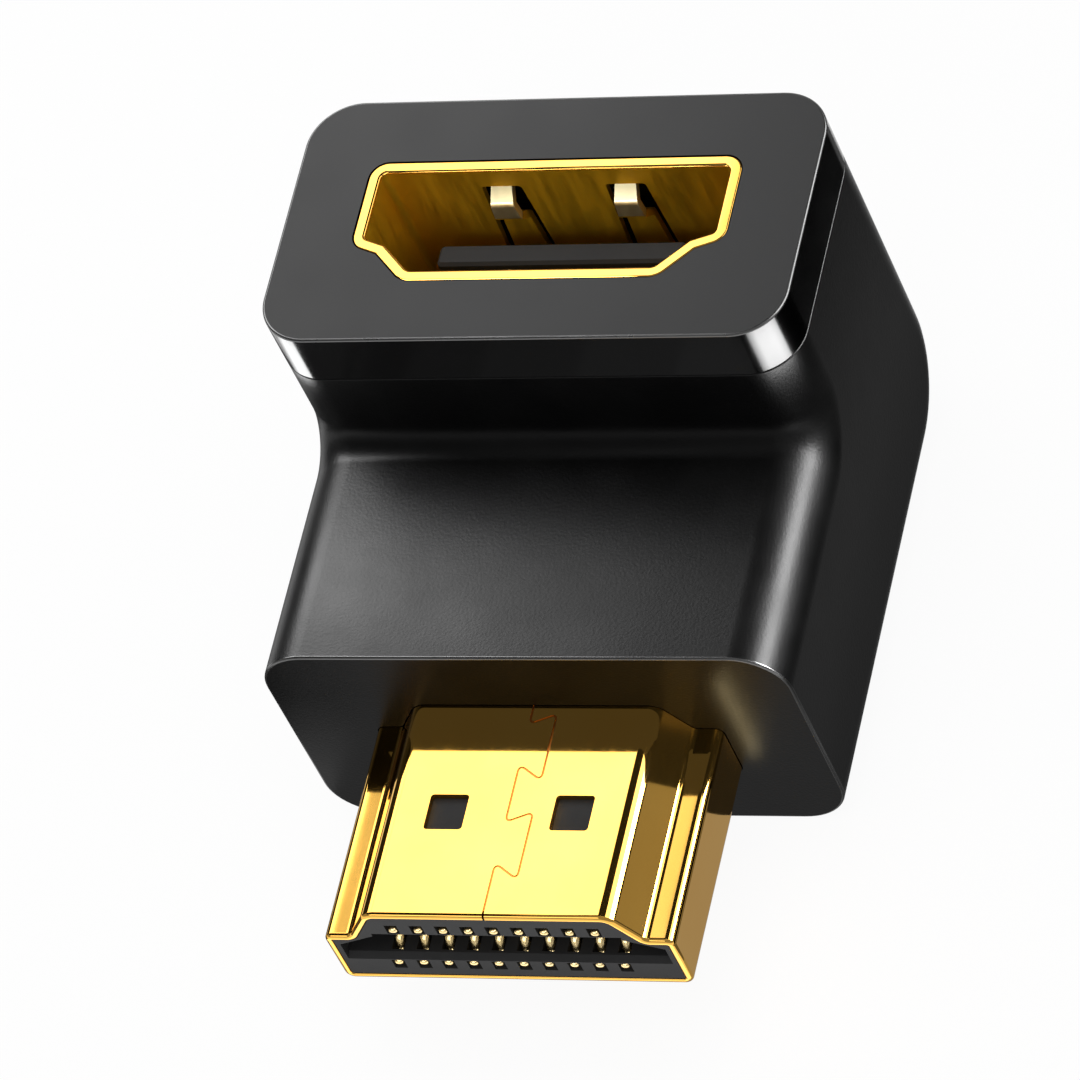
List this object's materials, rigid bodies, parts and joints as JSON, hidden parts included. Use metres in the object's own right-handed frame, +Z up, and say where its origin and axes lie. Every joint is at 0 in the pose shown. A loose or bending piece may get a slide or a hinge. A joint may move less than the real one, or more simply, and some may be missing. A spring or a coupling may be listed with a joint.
{
  "type": "right angle video adapter",
  "caption": "Right angle video adapter: a black L shaped moulding with a gold D plug on one arm and a gold D socket facing up on the other.",
  "frame": {"origin": "middle of the whole part seen from above, on the flat underside", "axes": "+X to the right with the plug towards the viewer, +Y from the plug to the back, +Z up to the socket"},
  "size_m": [0.021, 0.0304, 0.0172],
  "materials": {
    "body_plastic": "black moulded plastic with a fine satin grain",
    "cap_plastic": "black plastic with a polished collar",
    "inner_plastic": "plain dark inner moulding",
    "board": "green glass fibre board",
    "gold_shell": "polished gold plate on folded sheet",
    "insulator": "black moulded insulator",
    "gold_contact": "pale gold plate on contact springs"
  },
  "bodies": {
    "root": {"body_overmould": "body_plastic", "socket_cap": "cap_plastic", "inner_mould": "inner_plastic", "circuit_board": "board", "plug_shell": "gold_shell", "socket_shell": "gold_shell", "plug_housing": "insulator", "socket_housing": "insulator", "plug_contact_01": "gold_contact", "plug_contact_02": "gold_contact", "plug_contact_03": "gold_contact", "plug_contact_04": "gold_contact", "plug_contact_05": "gold_contact", "plug_contact_06": "gold_contact", "plug_contact_07": "gold_contact", "plug_contact_08": "gold_contact", "plug_contact_09": "gold_contact", "plug_contact_10": "gold_contact", "plug_contact_11": "gold_contact", "plug_contact_12": "gold_contact", "plug_contact_13": "gold_contact", "plug_contact_14": "gold_contact", "plug_contact_15": "gold_contact", "plug_contact_16": "gold_contact", "plug_contact_17": "gold_contact", "plug_contact_18": "gold_contact", "plug_contact_19": "gold_contact", "socket_contact_01": "gold_contact", "socket_contact_02": "gold_contact", "socket_contact_03": "gold_contact", "socket_contact_04": "gold_contact", "socket_contact_05": "gold_contact", "socket_contact_06": "gold_contact", "socket_contact_07": "gold_contact", "socket_contact_08": "gold_contact", "socket_contact_09": "gold_contact", "socket_contact_10": "gold_contact", "socket_contact_11": "gold_contact", "socket_contact_12": "gold_contact", "socket_contact_13": "gold_contact", "socket_contact_14": "gold_contact", "socket_contact_15": "gold_contact", "socket_contact_16": "gold_contact", "socket_contact_17": "gold_contact", "socket_contact_18": "gold_contact", "socket_contact_19": "gold_contact"}
  },
  "joints": []
}
